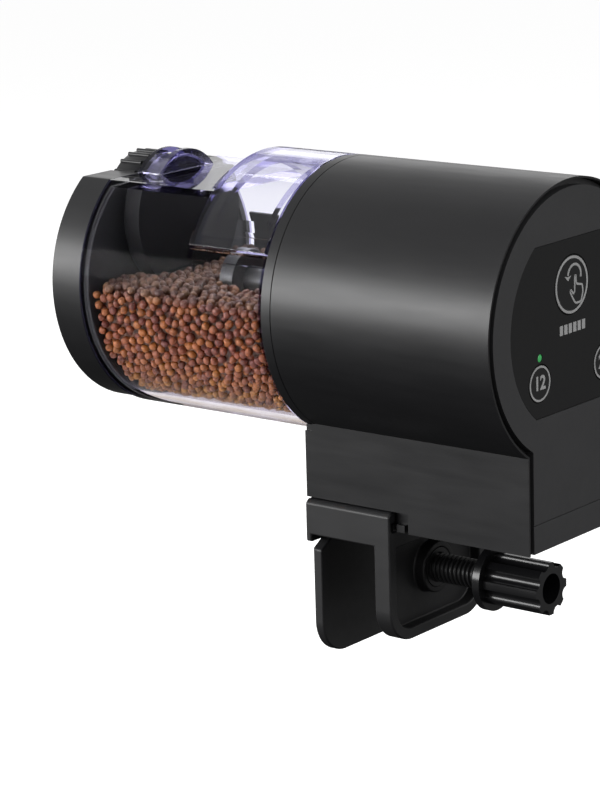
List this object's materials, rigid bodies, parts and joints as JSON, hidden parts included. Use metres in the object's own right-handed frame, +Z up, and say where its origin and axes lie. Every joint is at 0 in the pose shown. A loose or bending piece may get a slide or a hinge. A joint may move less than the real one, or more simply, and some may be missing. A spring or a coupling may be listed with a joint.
{
  "type": "automatic pet feeder",
  "caption": "Automatic fish feeder: round black housing with a turning clear feed barrel, sliding fill hood, dose dial, push buttons and a screw clamp for a tank rim.",
  "frame": {"origin": "on the inner face of the clamp's fixed jaw, at the middle of its width", "axes": "+X from the barrel's cap towards the control panel, along the barrel's axis; +Y away from the front; +Z up"},
  "size_m": [0.133, 0.068, 0.1217],
  "materials": {
    "shell_black": "fine moulded grain, satin black",
    "panel_black": "fine even grain, satin dark grey",
    "membrane_black": "smooth printed film, semi-gloss",
    "button_black": "smooth film with pale printed ring",
    "print_grey": "pale printed ink",
    "led_green": "lit green light pipe",
    "led_off": "unlit light pipe",
    "circuit_green": "solder mask on glass fibre board",
    "switch_grey": "moulded switch body",
    "inner_black": "plain moulding",
    "cell_jacket": "plain shrink sleeve",
    "nickel_spring": "nickel plated strip and wire",
    "motor_steel": "drawn and plated steel",
    "zinc_steel": "zinc plated",
    "nylon_white": "natural acetal",
    "brass": "turned",
    "bush_bronze": "sintered",
    "felt_grey": "pressed felt",
    "clear_lilac": "clear moulding with a faint violet tint",
    "cap_black": "satin black",
    "liner_grey": "smooth dark grey",
    "hub_grey": "smooth dark grey",
    "gate_violet": "smooth smoky",
    "bracket_black": "satin black, glass filled",
    "screw_black": "moulded thread, slight sheen",
    "knob_black": "polished flutes",
    "pad_rubber": "soft grip face",
    "feed": "dry pressed pellets"
  },
  "bodies": {
    "bracket": {"clamp_bracket": "bracket_black", "thread_insert": "screw_black"},
    "pad": {"screw_pad": "pad_rubber"},
    "screw": {"clamp_screw": "screw_black", "screw_knob": "knob_black"},
    "housing": {"main_shell": "shell_black", "rear_cover": "shell_black", "front_panel": "panel_black", "control_membrane": "membrane_black", "led_12": "led_green", "led_24": "led_off", "circuit_board": "circuit_green", "tact_switches": "switch_grey", "board_screws": "zinc_steel", "case_screws": "zinc_steel", "battery_tray": "inner_black", "battery_cells": "cell_jacket", "contact_plates": "nickel_spring", "contact_springs": "nickel_spring", "gear_motor": "motor_steel", "gear_plate": "motor_steel", "plate_screws": "zinc_steel", "idler_pin": "zinc_steel", "shaft_bush": "bush_bronze", "barrel_seal": "felt_grey"},
    "door": {"battery_door": "panel_black"},
    "button_manual": {"manual_button": "button_black"},
    "button_12": {"timer_12_button": "button_black"},
    "button_24": {"timer_24_button": "button_black"},
    "idler": {"idler_gear": "nylon_white"},
    "pinion": {"motor_pinion": "brass", "motor_shaft": "zinc_steel"},
    "drive": {"drive_shaft": "zinc_steel", "drive_gear": "nylon_white", "drive_dog": "nylon_white"},
    "barrel": {"barrel_shell": "clear_lilac", "barrel_cap": "cap_black", "rear_liner": "liner_grey", "drive_socket": "hub_grey", "dose_chamber": "liner_grey", "outlet_cover": "clear_lilac"},
    "dial": {"dose_dial": "cap_black", "dose_gate": "gate_violet"},
    "hood": {"fill_hood": "clear_lilac"}
  },
  "joints": [
    {"name": "screw_advance", "type": "slide", "parent": "bracket", "child": "pad", "axis": [-1, 0, 0], "range_m": [0, 0.0117]},
    {"name": "screw_turn", "type": "hinge", "parent": "pad", "child": "screw", "pos_m": [0.0411, 0, 0.0065], "axis": [1, 0, 0], "range_deg": [-3380, 0]},
    {"name": "bracket_slide", "type": "slide", "parent": "bracket", "child": "housing", "axis": [1, 0, 0], "range_m": [0, 0.026]},
    {"name": "door_slide", "type": "slide", "parent": "housing", "child": "door", "axis": [1, 0, 0], "range_m": [0, 0.03]},
    {"name": "manual_press", "type": "slide", "parent": "housing", "child": "button_manual", "axis": [-1, 0, 0], "range_m": [0, 0.0005], "stiffness_N_per_m": 900},
    {"name": "timer_12_press", "type": "slide", "parent": "housing", "child": "button_12", "axis": [-1, 0, 0], "range_m": [0, 0.0005], "stiffness_N_per_m": 900},
    {"name": "timer_24_press", "type": "slide", "parent": "housing", "child": "button_24", "axis": [-1, 0, 0], "range_m": [0, 0.0005], "stiffness_N_per_m": 900},
    {"name": "barrel_spin", "type": "hinge", "parent": "housing", "child": "drive", "pos_m": [0.0011, 0, 0.072], "axis": [1, 0, 0], "continuous": true},
    {"name": "idler_spin", "type": "hinge", "parent": "housing", "child": "idler", "pos_m": [0.0011, 0.0096, 0.08863], "axis": [1, 0, 0], "continuous": true},
    {"name": "pinion_spin", "type": "hinge", "parent": "housing", "child": "pinion", "pos_m": [0.0011, 0.00025, 0.09403], "axis": [1, 0, 0], "continuous": true},
    {"name": "barrel_pull", "type": "slide", "parent": "drive", "child": "barrel", "axis": [-1, 0, 0], "range_m": [0, 0.025]},
    {"name": "dial_turn", "type": "hinge", "parent": "barrel", "child": "dial", "pos_m": [-0.0619, 0, 0.0905], "axis": [1, 0, 0], "range_deg": [-90, 0]},
    {"name": "hood_turn", "type": "hinge", "parent": "barrel", "child": "hood", "pos_m": [-0.0169, 0, 0.072], "axis": [1, 0, 0], "range_deg": [-75, 0]}
  ],
  "couplings": [
    {"joint": "screw_turn", "follows": "screw_advance", "rad_per_m": -5026.5},
    {"joint": "idler_spin", "follows": "barrel_spin", "ratio": -1.6667},
    {"joint": "pinion_spin", "follows": "barrel_spin", "ratio": 3.3333}
  ]
}
